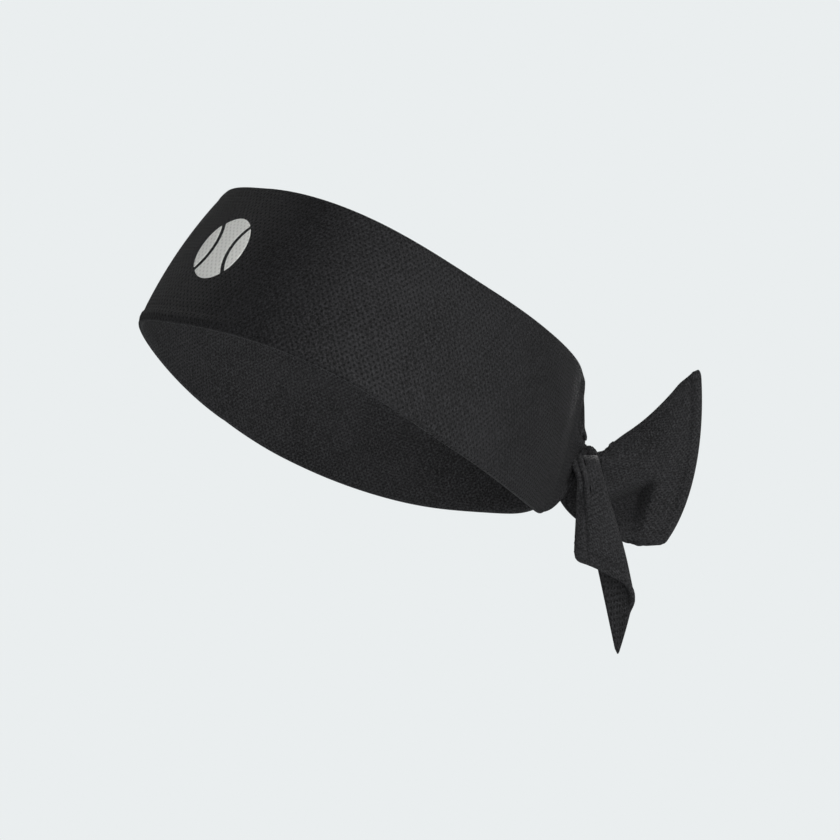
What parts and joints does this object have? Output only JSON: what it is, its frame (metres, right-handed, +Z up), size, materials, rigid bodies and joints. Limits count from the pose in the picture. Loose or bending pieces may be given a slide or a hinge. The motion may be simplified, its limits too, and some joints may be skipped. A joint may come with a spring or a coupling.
{
  "type": "tie headband",
  "caption": "Two-ply dimpled knit sports headband, tied behind the head in a small knot with one hanging and one flaring tail and a plain ball emblem on the forehead.",
  "frame": {"origin": "middle of the head opening, halfway up the forehead wall", "axes": "+Z up out of the head opening, -Y to the forehead, +Y to the knot, +X to the wearer's left"},
  "size_m": [0.1482, 0.2609, 0.1226],
  "materials": {
    "face_knit": "black dimpled mesh knit, slight sheen",
    "lining_knit": "black dimpled mesh knit, matt, brushed a little finer inside",
    "thread": "black polyester sewing thread, satin",
    "emblem_film": "light grey heat-pressed film, satin, picks up the knit below"
  },
  "bodies": {
    "band": {"outer_ply": "face_knit", "lining_ply": "lining_knit", "top_seam_thread": "thread", "bottom_seam_thread": "thread", "emblem_middle": "emblem_film", "emblem_left": "emblem_film", "emblem_right": "emblem_film", "left_gather_face": "face_knit", "left_gather_lining": "lining_knit", "right_gather_face": "face_knit", "right_gather_lining": "lining_knit", "knot_core": "face_knit", "knot_wrap": "face_knit"},
    "left_neck": {"left_throat": "face_knit"},
    "left_tail": {"left_tail_face": "face_knit", "left_tail_lining": "lining_knit", "left_tail_stitching": "thread"},
    "right_neck": {"right_throat": "face_knit"},
    "right_tail": {"right_tail_face": "face_knit", "right_tail_lining": "lining_knit", "right_tail_stitching": "thread"}
  },
  "joints": [
    {"name": "left_tail_sway", "type": "hinge", "parent": "band", "child": "left_neck", "pos_m": [0.00863, 0.12691, 0.00106], "axis": [0.7314, -0.6323, -0.2555], "range_deg": [-10, 30]},
    {"name": "left_tail_swing", "type": "hinge", "parent": "left_neck", "child": "left_tail", "pos_m": [0.01068, 0.13419, -0.0111], "axis": [0.682, 0.6781, 0.274], "range_deg": [-50, 4]},
    {"name": "right_tail_sway", "type": "hinge", "parent": "band", "child": "right_neck", "pos_m": [0.00263, 0.14046, 0.00437], "axis": [0.7314, -0.6323, -0.2555], "range_deg": [-30, 20]},
    {"name": "right_tail_swing", "type": "hinge", "parent": "right_neck", "child": "right_tail", "pos_m": [0.0039, 0.14316, 0.00134], "axis": [-0.3512, -0.0281, -0.9359], "range_deg": [-45, 4]}
  ]
}
